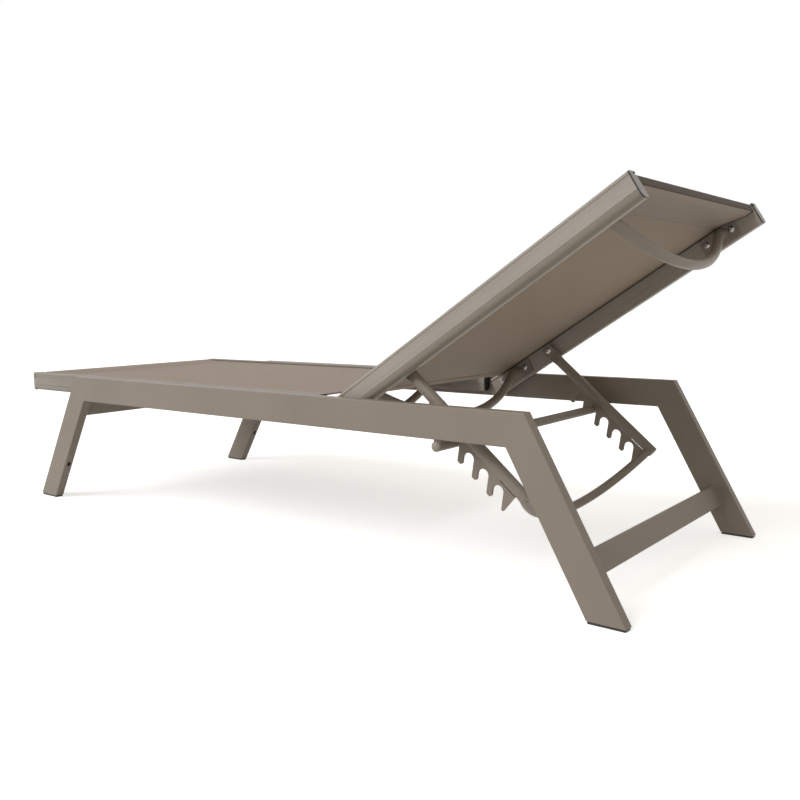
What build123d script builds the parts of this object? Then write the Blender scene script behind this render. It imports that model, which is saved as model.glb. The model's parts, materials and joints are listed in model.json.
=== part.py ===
from build123d import *
from math import asin, cos, radians, sin, sqrt, tan
import os

# Sun lounger with a tilting backrest and a notched prop. Millimetres, +Z up, +X to the head end,
# +Y to the right hand of a person lying on it. The origin is on the floor below the middle.

# Frame tube: one rectangular extrusion makes the side rails and the four legs
tube_depth = 65.0
tube_thickness = 24.0
tube_wall = 2.0
tube_corner = 2.5

# Frame
frame_width = 730.0
seat_height = 356.0
rail_length = 1410.0
rear_splay_angle = 29.5
front_splay_angle = 31.3
foot_height = 5.0
cross_tube_depth = 48.0
cross_tube_thickness = 20.0
rear_cross_setback = 29.0
rear_cross_height = 88.0
front_cross_setback = 16.0
front_cross_drop = 89.0
drain_slot_width = 9.0
drain_slot_length = 15.0
drain_slot_height = 97.0

# Feet: a sole under each leg and a plug inside it
sole_inset = 1.5
sole_corner = 3.0
plug_length = 18.0
plug_clearance = 0.3

# Sling rail: the extrusion along both edges of the seat and of the backrest
sling_rail_width = 24.0
sling_rail_depth = 51.0
sling_rail_wall = 2.0
bulb_radius = 4.2
band_recess = 1.5
band_drop = 15.0
groove_drop = 36.0
groove_width = 2.0
groove_depth = 1.0
bottom_round = 10.0
inner_round = 1.5
track_radius = 3.8
track_inset = 6.5
track_drop = 5.5
track_slot = 2.6
rail_gap = 3.0
cap_thickness = 3.5
cap_bevel = 0.8
foot_cap_length = 9.0
foot_cap_round = 6.0

# Seat and backrest
foot_overhang = 263.0
pivot_rear_gap = 459.0
pivot_drop = 21.0
seat_end_gap = 55.0
back_tail = 33.0
back_head = 752.5
recline = 32.1
end_bar_side = 18.0
end_bar_wall = 1.5
end_bar_corner = 3.0
end_bar_margin = 2.0
end_bar_drop = 1.5
seat_bolt_shares = (0.08, 0.48, 0.72)

# Sling
sling_thickness = 1.6
sling_sag = 5.0
spline_radius = 2.8
spline_clearance = 0.1
spline_margin = 6.0
hem_gap = 1.5
seat_hem_gap = 26.0
back_hem_place = 8.0

# Bows: round tubes bent away from the sling, with a welded plate at each end
bow_radius = 10.5
bow_wall = 1.5
bow_drop = 22.5
bow_lead = 11.0
bow_bend_radius = 50.0
bow_slope = 33.0
plate_thickness = 3.0
plate_height = 38.0
plate_corner = 2.5
plate_drop = 26.5
screw_drop = 24.5
short_plate_length = 88.0
short_plate_spacing = 62.0
upper_bow_place = 670.5
upper_plate_place = 662.0
lower_bow_place = 55.5
lower_plate_place = 35.5
lower_plate_length = 131.0
lower_screw_place = 81.0
seat_front_bow_share = 0.346
seat_rear_bow_share = 0.824

# Prop: two legs, a bent tube between them and two toothed racks
prop_place = 169.5
prop_drop = 25.0
prop_angle = 39.8
prop_radius = 12.0
prop_wall = 2.0
prop_inset = 13.0
prop_length = 370.0
prop_end_wall = 4.0
prop_end_round = 1.5
lug_radius = 14.0
lug_thickness = 7.0
lug_corner = 0.6
lug_length = 20.0
lug_taper = 24.0
prop_bow_radius = 9.7
prop_bow_wall = 1.5
prop_bow_slope = 40.0
prop_bow_lean = 122.3
prop_bow_end_gap = 11.0
rack_thickness = 5.0
rack_seam = 0.05
rack_start = 92.0
rack_end_gap = 20.0
rack_depth = 54.5
first_tooth_width = 16.0
rack_slit = 2.5
rack_slit_length = 45.0
notch_pitch = 43.3
notch_count = 5
notch_in_use = 2
notch_radius = 12.3
notch_tilt = 8.5
notch_rest_gap = 0.3
tooth_round = 4.5
toe_round = 1.5

# Rest bar: the round tube that the racks hook over
bar_rear_gap = 190.0
bar_drop = 78.0
bar_radius = 10.0
bar_wall = 2.0
bar_plug_dome = 6.0
bar_plug_reach = 14.0
saddle_length = 15.0
saddle_width = 16.0

# Fasteners
head_radius = 6.8
head_rim = 1.2
head_height = 4.2
head_top_radius = 3.8
prop_head_radius = 8.0
socket_radius = 2.6
socket_depth = 2.4
shank_radius = 4.0
hole_clearance = 0.2
running_clearance = 0.05
screw_reach = 9.0
pivot_play = 0.2
bush_radius = 6.0
flange_radius = 9.0
insert_radius = 6.5
insert_reach = 14.0
insert_flange = 1.0

overrun = 10.0
hands = (("left", -1), ("right", 1))

# Directions of the backrest and of the prop at rest
lean = radians(recline)
along = Vector(cos(lean), 0, sin(lean))
above = Vector(-sin(lean), 0, cos(lean))
prop_lean = radians(prop_angle)
prop_down = Vector(cos(prop_lean), 0, -sin(prop_lean))
prop_below = Vector(-sin(prop_lean), 0, -cos(prop_lean))

# Places along the frame
back_reach = (back_head + cap_thickness) * cos(lean) + (sling_rail_depth - pivot_drop) * sin(lean)
leg_reach = pivot_rear_gap + (seat_height - foot_height) * tan(radians(rear_splay_angle))
overall_length = foot_overhang + rail_length - pivot_rear_gap + max(back_reach, leg_reach)
rail_front_x = foot_overhang - overall_length / 2
rail_rear_x = rail_front_x + rail_length
foot_end_x = rail_front_x - foot_overhang
pivot = Vector(rail_rear_x - pivot_rear_gap, 0, seat_height - pivot_drop)
bar_centre = Vector(rail_rear_x - bar_rear_gap, 0, seat_height - bar_drop)
seat_end_x = pivot.X - seat_end_gap
seat_front_bow_x = rail_front_x + seat_front_bow_share * (seat_end_x - rail_front_x)
seat_rear_bow_x = rail_front_x + seat_rear_bow_share * (seat_end_x - rail_front_x)

# Places across the frame, as distances from the middle plane
frame_inner_y = frame_width / 2 - tube_thickness
frame_tube_y = frame_width / 2 - tube_thickness / 2
sling_outer_y = frame_inner_y - rail_gap
sling_rail_y = sling_outer_y - sling_rail_width / 2
sling_inner_y = sling_outer_y - sling_rail_width
plate_face_y = sling_inner_y - plate_thickness
prop_y = sling_inner_y - prop_inset

# Sling rail section: u runs outward from the middle of its width, v up from its top
half_width = sling_rail_width / 2
track_u = track_inset - half_width
hollow_top = track_drop + track_radius + sling_rail_wall
hollow_outer_u = half_width - band_recess - sling_rail_wall
hollow_round = bottom_round - sling_rail_wall - band_recess
seat_bolt_drop = (hollow_top + sling_rail_depth - sling_rail_wall) / 2


def back_point(place, drop, y=0.0):
    """A point of the backrest: its place up from the pivot, its depth below the top, its y."""
    spot = pivot + along * place + above * (pivot_drop - drop)
    return Vector(spot.X, y, spot.Z)


def seat_point(x, drop, y=0.0):
    """A point of the seat at a depth below the top of its rails."""
    return Vector(x, y, seat_height - drop)


def upright(y):
    """The upright plane at y: its sketches are drawn in X and Z, and it faces -Y."""
    return Plane(origin=(0, y, 0), x_dir=(1, 0, 0), z_dir=(0, -1, 0))


def tilted(y):
    """The upright plane at y turned with the backrest: x is the place up from the pivot."""
    return Plane(origin=back_point(0, 0, y), x_dir=along, z_dir=(0, -1, 0))


def save(piece, name):
    """Label a finished piece and write it under its name."""
    piece.part.label = name
    export_step(piece.part, f"parts/{name}.step")


def tube_section(thickness, depth, wall, corner):
    """The hollow section of a rectangular tube."""
    RectangleRounded(thickness, depth, corner)
    RectangleRounded(thickness - 2 * wall, depth - 2 * wall, corner / 2, mode=Mode.SUBTRACT)


os.makedirs("parts", exist_ok=True)


class LegLine:
    """The line of a leg: its outer top corner, its direction down, its normal, its mitre."""

    def __init__(self, corner_x, splay_angle, outward):
        slant = radians(splay_angle)
        self.slant = slant
        self.down = Vector(outward * sin(slant), 0, -cos(slant))
        self.normal = Vector(outward * cos(slant), 0, sin(slant))
        self.corner = Vector(corner_x, 0, seat_height)
        mitre_run = (1 - sin(slant)) / cos(slant)
        self.mitre = Plane(origin=self.corner, z_dir=(outward, 0, -mitre_run))

    def at(self, height, setback, y=0.0):
        """The point at a height above the floor and a setback inside the outer face."""
        start = self.corner - self.normal * setback
        spot = start + self.down * ((start.Z - height) / cos(self.slant))
        return Vector(spot.X, y, spot.Z)

    def cross_plane(self, height, setback, y=0.0):
        """A plane square to the leg: x is across the lounger, y is the depth of the tube."""
        return Plane(origin=self.at(height, setback, y), x_dir=(0, 1, 0), z_dir=self.down)


rear_line = LegLine(rail_rear_x, rear_splay_angle, 1)
front_line = LegLine(rail_front_x, front_splay_angle, -1)
ends = (("front", front_line), ("rear", rear_line))

# Side rails, mitred at both ends and drilled in the inner wall for the threaded inserts
seat_bolt_xs = [rail_front_x + share * (seat_end_x - rail_front_x) for share in seat_bolt_shares]
seat_bolt_places = [(x, seat_height - seat_bolt_drop) for x in seat_bolt_xs]
insert_places = seat_bolt_places + [(pivot.X, pivot.Z)]

for side, hand in hands:
    with BuildPart() as side_rail:
        rail_start = Plane(
            origin=(rail_front_x, hand * frame_tube_y, seat_height - tube_depth / 2),
            x_dir=(0, 1, 0),
            z_dir=(1, 0, 0),
        )
        with BuildSketch(rail_start):
            tube_section(tube_thickness, tube_depth, tube_wall, tube_corner)
        extrude(amount=rail_length)
        split(bisect_by=front_line.mitre, keep=Keep.BOTTOM)
        split(bisect_by=rear_line.mitre, keep=Keep.BOTTOM)
        with BuildSketch(upright(hand * (frame_inner_y - overrun))):
            with Locations(*insert_places):
                Circle(insert_radius + running_clearance)
        extrude(amount=-hand * (overrun + 2 * tube_wall), mode=Mode.SUBTRACT)
    save(side_rail, f"side_rail_{side}")

# Legs, mitred to the rails and cut level just above the floor
for end, line in ends:
    for side, hand in hands:
        with BuildPart() as leg:
            with BuildSketch(
                line.cross_plane(seat_height + tube_depth, tube_depth / 2, hand * frame_tube_y)
            ):
                tube_section(tube_thickness, tube_depth, tube_wall, tube_corner)
            extrude(amount=2 * seat_height)
            split(bisect_by=line.mitre, keep=Keep.TOP)
            split(bisect_by=Plane.XY.offset(foot_height), keep=Keep.TOP)
            if line is front_line:
                drain_face = Plane(
                    origin=line.at(drain_slot_height, tube_depth + overrun, hand * frame_tube_y),
                    x_dir=line.down,
                    z_dir=line.normal,
                )
                with BuildSketch(drain_face):
                    SlotOverall(drain_slot_length, drain_slot_width)
                extrude(amount=overrun + 2 * tube_wall, mode=Mode.SUBTRACT)
        save(leg, f"{end}_leg_{side}")

# Feet: each sole lies flat on the floor and its plug fills the end of the leg
for end, line in ends:
    for side, hand in hands:
        with BuildPart() as foot:
            plug_start = line.cross_plane(
                foot_height + plug_length, tube_depth / 2, hand * frame_tube_y
            )
            with BuildSketch(plug_start):
                RectangleRounded(
                    tube_thickness - 2 * (tube_wall + plug_clearance),
                    tube_depth - 2 * (tube_wall + plug_clearance),
                    tube_corner / 2,
                )
            extrude(amount=tube_depth + plug_length)
            split(bisect_by=Plane.XY.offset(foot_height), keep=Keep.TOP)
            sole_centre = line.at(foot_height, tube_depth / 2, hand * frame_tube_y)
            with BuildSketch(Plane(origin=(sole_centre.X, sole_centre.Y, 0))):
                RectangleRounded(
                    tube_depth / cos(line.slant) - 2 * sole_inset,
                    tube_thickness - 2 * sole_inset,
                    sole_corner,
                )
            extrude(amount=foot_height)
        save(foot, f"{end}_foot_{side}")

# Cross tubes: they lean with the legs and end at the legs' inner faces
for end, line, height, setback in (
    ("front", front_line, seat_height - front_cross_drop, front_cross_setback),
    ("rear", rear_line, rear_cross_height, rear_cross_setback),
):
    with BuildPart() as cross_tube:
        cross_start = Plane(
            origin=line.at(height, setback + cross_tube_thickness / 2, -frame_inner_y),
            x_dir=line.normal,
            z_dir=(0, 1, 0),
        )
        with BuildSketch(cross_start):
            tube_section(cross_tube_thickness, cross_tube_depth, tube_wall, tube_corner)
        extrude(amount=2 * frame_inner_y)
    save(cross_tube, f"{end}_cross_tube")

# Rest bar, its plugs and the saddles that weld it under the side rails
bar_start = Plane(
    origin=bar_centre - Vector(0, frame_width / 2, 0), x_dir=(1, 0, 0), z_dir=(0, 1, 0)
)
with BuildPart() as rest_bar:
    with BuildSketch(bar_start):
        Circle(bar_radius)
        Circle(bar_radius - bar_wall, mode=Mode.SUBTRACT)
    extrude(amount=frame_width)
save(rest_bar, "rest_bar")

dome_radius = (bar_radius**2 + bar_plug_dome**2) / (2 * bar_plug_dome)
dome_angle = asin(bar_radius / dome_radius) / 2
dome_middle = (
    dome_radius * sin(dome_angle),
    bar_plug_dome - dome_radius * (1 - cos(dome_angle)),
)
with BuildPart() as rest_bar_plugs:
    for side, hand in hands:
        plug_plane = Plane(
            origin=(bar_centre.X, hand * frame_width / 2, bar_centre.Z),
            x_dir=(1, 0, 0),
            z_dir=(0, 0, hand),
        )
        with BuildSketch(plug_plane):
            with BuildLine():
                Polyline(
                    (bar_radius, 0),
                    (bar_radius - bar_wall, 0),
                    (bar_radius - bar_wall, -bar_plug_reach),
                    (0, -bar_plug_reach),
                    (0, bar_plug_dome),
                )
                ThreePointArc((bar_radius, 0), dome_middle, (0, bar_plug_dome))
            make_face()
        revolve(axis=Axis(plug_plane.origin, plug_plane.y_dir))
save(rest_bar_plugs, "rest_bar_plugs")

saddle_height = bar_drop - tube_depth
with BuildPart() as rest_bar_saddles:
    for side, hand in hands:
        with BuildSketch(upright(hand * frame_tube_y)):
            with Locations((bar_centre.X, bar_centre.Z + saddle_height / 2)):
                Rectangle(saddle_length, saddle_height)
            with Locations((bar_centre.X, bar_centre.Z)):
                Circle(bar_radius, mode=Mode.SUBTRACT)
        extrude(amount=saddle_width / 2, both=True)
save(rest_bar_saddles, "rest_bar_saddles")


def rail_plane(start, direction, hand):
    """The plane of a sling rail's section at start, with the section's u pointing outward."""
    return Plane(origin=start, x_dir=(0, hand, 0), z_dir=direction * hand)


# Section of the sling rail: a rolled bulb along its upper outer edge, then a recessed band
bulb_u = half_width - bulb_radius
bulb_foot = bulb_radius + sqrt(bulb_radius**2 - (bulb_radius - band_recess) ** 2)
with BuildSketch() as rail_outline:
    with BuildLine():
        Polyline(
            (bulb_u, 0),
            (-half_width, 0),
            (-half_width, -sling_rail_depth),
            (half_width, -sling_rail_depth),
            (half_width, -band_drop),
            (half_width - band_recess, -band_drop),
            (half_width - band_recess, -bulb_foot),
        )
        ThreePointArc((half_width - band_recess, -bulb_foot), (half_width, -bulb_radius), (bulb_u, 0))
    make_face()
    fillet(vertices().sort_by_distance((half_width, -sling_rail_depth))[0], bottom_round)
    fillet(vertices().group_by(Axis.X)[0], inner_round)

# The same outline with the round track of the spline and its slot to the inner side
with BuildSketch() as cap_outline:
    add(rail_outline.sketch)
    with Locations((track_u, -track_drop)):
        Circle(track_radius, mode=Mode.SUBTRACT)
    with Locations((-half_width, -track_drop)):
        Rectangle(2 * track_inset, track_slot, mode=Mode.SUBTRACT)

# The closed chamber below the track
chamber_width = hollow_outer_u + half_width - sling_rail_wall
chamber_depth = sling_rail_depth - sling_rail_wall - hollow_top
with BuildSketch() as chamber:
    with Locations((hollow_outer_u - chamber_width / 2, -hollow_top - chamber_depth / 2)):
        Rectangle(chamber_width, chamber_depth)
    low_corner = (hollow_outer_u, sling_rail_wall - sling_rail_depth)
    fillet(vertices().sort_by_distance(low_corner)[0], hollow_round)

with BuildSketch() as chamber_plug:
    add(chamber.sketch)
    offset(amount=-plug_clearance, mode=Mode.REPLACE)

with BuildSketch() as rail_section:
    add(cap_outline.sketch)
    add(chamber.sketch, mode=Mode.SUBTRACT)
    with Locations((half_width, -groove_drop)):
        Rectangle(2 * groove_depth, groove_width, mode=Mode.SUBTRACT)

# Seat rails, drilled for their bolts and for the screws of the bows
seat_rail_start_x = foot_end_x + foot_cap_length
seat_rail_end_x = seat_end_x - cap_thickness
forward = Vector(1, 0, 0)

for side, hand in hands:
    rail_y = hand * sling_rail_y
    with BuildPart() as seat_rail:
        with BuildSketch(rail_plane(seat_point(seat_rail_start_x, 0, rail_y), forward, hand)):
            add(rail_section.sketch)
        extrude(amount=hand * (seat_rail_end_x - seat_rail_start_x))
        with BuildSketch(upright(0)):
            with Locations(*seat_bolt_places):
                Circle(shank_radius + hole_clearance)
        extrude(amount=-hand * (sling_outer_y + overrun), mode=Mode.SUBTRACT)
        with BuildSketch(upright(0)):
            for bow_x in (seat_front_bow_x, seat_rear_bow_x):
                with Locations((bow_x, seat_height - screw_drop)):
                    with GridLocations(short_plate_spacing, 0, 2, 1):
                        Circle(shank_radius + hole_clearance)
        extrude(amount=-hand * (sling_inner_y + 2 * sling_rail_wall), mode=Mode.SUBTRACT)
    save(seat_rail, f"seat_rail_{side}")

    with BuildPart() as seat_foot_cap:
        foot_cap_plane = rail_plane(seat_point(seat_rail_start_x, 0, rail_y), forward, hand)
        with BuildSketch(foot_cap_plane):
            with Locations((0, -sling_rail_depth / 2)):
                Rectangle(sling_rail_width, sling_rail_depth)
        extrude(amount=-hand * foot_cap_length)
        fillet(faces().sort_by(Axis.X)[0].edges().filter_by(Axis.Y), foot_cap_round)
        with BuildSketch(foot_cap_plane):
            add(chamber_plug.sketch)
        extrude(amount=hand * plug_length)
    save(seat_foot_cap, f"seat_foot_cap_{side}")

# Backrest rails, bored for the pivot bush and drilled for the screws of the bows and the prop
back_rail_tail = cap_thickness - back_tail
for side, hand in hands:
    rail_y = hand * sling_rail_y
    with BuildPart() as back_rail:
        with BuildSketch(rail_plane(back_point(back_rail_tail, 0, rail_y), along, hand)):
            add(rail_section.sketch)
        extrude(amount=hand * (back_head - back_rail_tail))
        with BuildSketch(tilted(0)):
            with Locations((0, -pivot_drop)):
                Circle(bush_radius + running_clearance)
        extrude(amount=-hand * (sling_outer_y + overrun), mode=Mode.SUBTRACT)
        with BuildSketch(tilted(0)):
            with Locations((lower_screw_place, -screw_drop), (prop_place, -prop_drop)):
                Circle(shank_radius + hole_clearance)
            with Locations((upper_plate_place, -screw_drop)):
                with GridLocations(short_plate_spacing, 0, 2, 1):
                    Circle(shank_radius + hole_clearance)
        extrude(amount=-hand * (sling_inner_y + 2 * sling_rail_wall), mode=Mode.SUBTRACT)
    save(back_rail, f"back_rail_{side}")

# Flat end caps: a bevelled plate of the rail's outline and a plug in its chamber
for side, hand in hands:
    rail_y = hand * sling_rail_y
    for name, start, direction, way in (
        ("seat_head_cap", seat_point(seat_rail_end_x, 0, rail_y), forward, 1),
        ("back_tail_cap", back_point(back_rail_tail, 0, rail_y), along, -1),
        ("back_head_cap", back_point(back_head, 0, rail_y), along, 1),
    ):
        with BuildPart() as end_cap:
            with BuildSketch(rail_plane(start, direction, hand)):
                add(cap_outline.sketch)
            extrude(amount=way * hand * cap_thickness)
            outer_face = faces().sort_by(Axis(start, direction * way))[-1]
            chamfer(outer_face.outer_wire().edges(), cap_bevel)
            with BuildSketch(rail_plane(start, direction, hand)):
                add(chamber_plug.sketch)
            extrude(amount=-way * hand * plug_length)
        save(end_cap, f"{name}_{side}")

# End bars: square tubes across the lounger, just below the rails' tops
end_bar_depth = end_bar_drop + end_bar_side / 2
foot_bar_x = seat_rail_start_x + end_bar_margin + end_bar_side / 2
top_bar_place = back_head - end_bar_margin - end_bar_side / 2
for name, start, direction in (
    ("foot_end_bar", seat_point(foot_bar_x, end_bar_depth, -sling_inner_y), forward),
    ("back_top_bar", back_point(top_bar_place, end_bar_depth, -sling_inner_y), along),
):
    with BuildPart() as end_bar:
        with BuildSketch(Plane(origin=start, x_dir=direction, z_dir=(0, 1, 0))):
            tube_section(end_bar_side, end_bar_side, end_bar_wall, end_bar_corner)
        extrude(amount=2 * sling_inner_y)
    save(end_bar, name)

# Slings: each cloth is held in both tracks and sags a little between them
seat_sling_start = foot_bar_x + end_bar_side / 2 + hem_gap
seat_sling_length = seat_end_x - seat_hem_gap - seat_sling_start
back_sling_length = top_bar_place - end_bar_side / 2 - hem_gap - back_hem_place
sling_edge = sling_rail_y + track_u - spline_radius - spline_clearance
sling_top = sling_thickness / 2 - track_drop
sling_low = sling_top - sling_thickness

for name, start, direction, length in (
    ("seat_sling", seat_point(seat_sling_start, 0), forward, seat_sling_length),
    ("back_sling", back_point(back_hem_place, 0), along, back_sling_length),
):
    with BuildPart() as sling:
        with BuildSketch(Plane(origin=start, x_dir=(0, 1, 0), z_dir=direction)):
            with BuildLine():
                ThreePointArc(
                    (-sling_edge, sling_top), (0, sling_top - sling_sag), (sling_edge, sling_top)
                )
                Line((sling_edge, sling_top), (sling_edge, sling_low))
                ThreePointArc(
                    (sling_edge, sling_low), (0, sling_low - sling_sag), (-sling_edge, sling_low)
                )
                Line((-sling_edge, sling_low), (-sling_edge, sling_top))
            make_face()
        extrude(amount=length)
    save(sling, name)

# Splines: the round rods that lock the edges of the cloth in their tracks
for side, hand in hands:
    track_y = hand * (sling_rail_y + track_u)
    seat_spline_start = seat_point(seat_sling_start + spline_margin, track_drop, track_y)
    back_spline_start = back_point(back_hem_place + spline_margin, track_drop, track_y)
    for name, start, direction, length in (
        ("seat_spline", seat_spline_start, forward, seat_sling_length - 2 * spline_margin),
        ("back_spline", back_spline_start, along, back_sling_length - 2 * spline_margin),
    ):
        with BuildPart() as spline:
            with BuildSketch(Plane(origin=start, z_dir=direction)):
                Circle(spline_radius)
            extrude(amount=length)
        save(spline, f"{name}_{side}")

# Bows: a level lead, a tight bend and one wide arc, then the same again to the other plate
bow_angle = radians(bow_slope)
bend_fall = bow_bend_radius * (1 - cos(bow_angle))
bend_y = plate_face_y - bow_lead - bow_bend_radius * sin(bow_angle)
bow_sag = bend_y * tan(bow_angle / 2)
screw_hole = shank_radius + hole_clearance
pivot_hole = shank_radius + running_clearance
half_spacing = short_plate_spacing / 2
seat_holes = [(-half_spacing, screw_drop, screw_hole), (half_spacing, screw_drop, screw_hole)]
upper_shift = upper_plate_place - upper_bow_place
upper_holes = [(place + upper_shift, drop, radius) for place, drop, radius in seat_holes]
lower_shift = lower_plate_place - lower_bow_place
lower_holes = [
    (-lower_bow_place, pivot_drop, pivot_hole),
    (lower_screw_place - lower_bow_place, screw_drop, screw_hole),
]
front_bow_point = seat_point(seat_front_bow_x, bow_drop)
rear_bow_point = seat_point(seat_rear_bow_x, bow_drop)
upper_bow_point = back_point(upper_bow_place, bow_drop)
lower_bow_point = back_point(lower_bow_place, bow_drop)

for name, middle, direction, shift, length, holes in (
    ("seat_front_bow", front_bow_point, forward, 0, short_plate_length, seat_holes),
    ("seat_rear_bow", rear_bow_point, forward, 0, short_plate_length, seat_holes),
    ("back_upper_bow", upper_bow_point, along, upper_shift, short_plate_length, upper_holes),
    ("back_lower_bow", lower_bow_point, along, lower_shift, lower_plate_length, lower_holes),
):
    with BuildPart() as bow:
        with BuildLine(Plane(origin=middle, x_dir=(0, 1, 0), z_dir=direction)) as run:
            near_lead = Line((-plate_face_y, 0), (bow_lead - plate_face_y, 0))
            near_bend = JernArc((bow_lead - plate_face_y, 0), (1, 0), bow_bend_radius, -bow_slope)
            wide_arc = ThreePointArc(
                (-bend_y, -bend_fall), (0, -bend_fall - bow_sag), (bend_y, -bend_fall)
            )
            far_bend = JernArc(
                (plate_face_y - bow_lead, 0), (-1, 0), bow_bend_radius, bow_slope
            )
            far_lead = Line((plate_face_y - bow_lead, 0), (plate_face_y, 0))
        bow_end = middle - Vector(0, plate_face_y, 0)
        with BuildSketch(Plane(origin=bow_end, z_dir=(0, 1, 0))):
            Circle(bow_radius)
            Circle(bow_radius - bow_wall, mode=Mode.SUBTRACT)
        sweep()
        for side, hand in hands:
            plate_middle = middle + Vector(0, hand * plate_face_y, 0)
            with BuildSketch(Plane(origin=plate_middle, x_dir=direction, z_dir=(0, -1, 0))):
                with Locations((shift, bow_drop - plate_drop)):
                    RectangleRounded(length, plate_height, plate_corner)
                for place, drop, radius in holes:
                    with Locations((place, bow_drop - drop)):
                        Circle(radius, mode=Mode.SUBTRACT)
            extrude(amount=-hand * plate_thickness)
    save(bow, name)

# Prop: each leg is a tube from its flat lug to its closed lower end
prop_pivot = back_point(prop_place, prop_drop)
taper_end = lug_length + lug_taper


def prop_point(place, depth, y):
    """A point of the prop: its place down from the prop's pivot, its depth below that line."""
    spot = prop_pivot + prop_down * place + prop_below * depth
    return Vector(spot.X, y, spot.Z)


def leg_plane(place, y):
    """The plane square to a prop leg at a place along it."""
    return Plane(origin=prop_point(place, 0, y), x_dir=(0, 1, 0), z_dir=prop_down)


for side, hand in hands:
    leg_y = hand * prop_y
    lug_plane = Plane(origin=prop_point(0, 0, leg_y), x_dir=prop_down, z_dir=(0, 1, 0))
    with BuildPart() as prop_leg:
        with BuildSketch(lug_plane):
            Circle(lug_radius)
            with Locations((lug_length / 2, 0)):
                Rectangle(lug_length, 2 * lug_radius)
        extrude(amount=lug_thickness / 2, both=True)
        with BuildSketch(leg_plane(lug_length, leg_y)):
            RectangleRounded(lug_thickness, 2 * lug_radius, lug_corner)
        with BuildSketch(leg_plane(taper_end, leg_y)):
            RectangleRounded(2 * prop_radius, 2 * prop_radius, prop_radius - lug_corner / 2)
        loft()
        with BuildSketch(leg_plane(taper_end, leg_y)):
            Circle(prop_radius)
        extrude(amount=prop_length - taper_end)
        fillet(faces().sort_by(Axis(prop_pivot, prop_down))[-1].edges(), prop_end_round)
        with BuildSketch(leg_plane(taper_end, leg_y)):
            Circle(prop_radius - prop_wall)
        extrude(amount=prop_length - taper_end - prop_end_wall, mode=Mode.SUBTRACT)
        with BuildSketch(lug_plane):
            Circle(shank_radius + running_clearance)
        extrude(amount=lug_thickness, both=True, mode=Mode.SUBTRACT)
    save(prop_leg, f"prop_leg_{side}")

# Prop bow: one arc that hangs between the legs, its ends coped to them
bow_lean = radians(prop_bow_lean)
bow_fall = radians(prop_bow_slope)
fall_line = Vector(cos(bow_lean), 0, -sin(bow_lean))
near_end = prop_point(prop_length - prop_bow_end_gap, 0, -prop_y)
far_end = prop_point(prop_length - prop_bow_end_gap, 0, prop_y)
low_point = (near_end + far_end) / 2 + fall_line * prop_y * tan(bow_fall / 2)
bow_start = Vector(0, cos(bow_fall), 0) + fall_line * sin(bow_fall)
with BuildPart() as prop_cross_bow:
    with BuildLine() as run:
        ThreePointArc(near_end, low_point, far_end)
    with BuildSketch(Plane(origin=near_end, z_dir=bow_start)):
        Circle(prop_bow_radius)
        Circle(prop_bow_radius - prop_bow_wall, mode=Mode.SUBTRACT)
    sweep()
    for side, hand in hands:
        with BuildSketch(leg_plane(prop_length, hand * prop_y)):
            Circle(prop_radius)
        extrude(amount=-prop_length, mode=Mode.SUBTRACT)
save(prop_cross_bow, "prop_cross_bow")

# Racks: open hooks whose arches all lie on one line; the bar rests in the notch in use
slot_line = Vector(-sin(radians(notch_tilt)), 0, -cos(radians(notch_tilt)))
slot_run = slot_line.dot(prop_down)
slot_fall = slot_line.dot(prop_below)
hook_arch = bar_centre + slot_line * (notch_radius - bar_radius - notch_rest_gap)
arch_depth = (hook_arch - prop_pivot).dot(prop_below)
arch_place = (hook_arch - prop_pivot).dot(prop_down)
arch_places = [arch_place + notch_pitch * (n + 1 - notch_in_use) for n in range(notch_count)]
mouth_depth = rack_depth + overrun
mouth_shift = (mouth_depth - arch_depth) * slot_run / slot_fall
half_mouth = notch_radius / slot_fall
flank_run = notch_radius * slot_fall
flank_rise = notch_radius * slot_run
rack_top = prop_radius + rack_seam
rack_end = prop_length - rack_end_gap
first_flank = arch_places[0] - half_mouth + (rack_depth - arch_depth) * slot_run / slot_fall

for side, hand in hands:
    rack_plane = Plane(origin=prop_point(0, 0, hand * prop_y), x_dir=prop_down, z_dir=(0, 1, 0))
    with BuildPart() as rack:
        with BuildSketch(rack_plane):
            with BuildLine():
                Polyline(
                    (rack_start, rack_top),
                    (rack_end - rack_slit_length, rack_top),
                    (rack_end - rack_slit_length + rack_slit, rack_top + rack_slit),
                    (rack_end, rack_top + rack_slit),
                    (rack_end, rack_depth),
                    (first_flank - first_tooth_width, rack_depth),
                    close=True,
                )
            make_face()
            for place in arch_places:
                with Locations((place, arch_depth)):
                    Circle(notch_radius, mode=Mode.SUBTRACT)
                with BuildLine():
                    Polyline(
                        (place - flank_run, arch_depth + flank_rise),
                        (place + flank_run, arch_depth - flank_rise),
                        (place + half_mouth + mouth_shift, mouth_depth),
                        (place - half_mouth + mouth_shift, mouth_depth),
                        close=True,
                    )
                make_face(mode=Mode.SUBTRACT)
            tips = vertices().group_by(Axis.Y)[-1].sort_by(Axis.X)
            fillet(tips[:-2], tooth_round)
            toes = vertices().group_by(Axis.Y)[-1].sort_by(Axis.X)[-2:]
            fillet(toes, toe_round)
        extrude(amount=rack_thickness / 2, both=True)
    save(rack, f"rack_{side}")


def inward(point, hand):
    """The plane through a point that faces the middle of the lounger."""
    return Plane(origin=point, x_dir=(1, 0, 0), z_dir=(0, -hand, 0))


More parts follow.
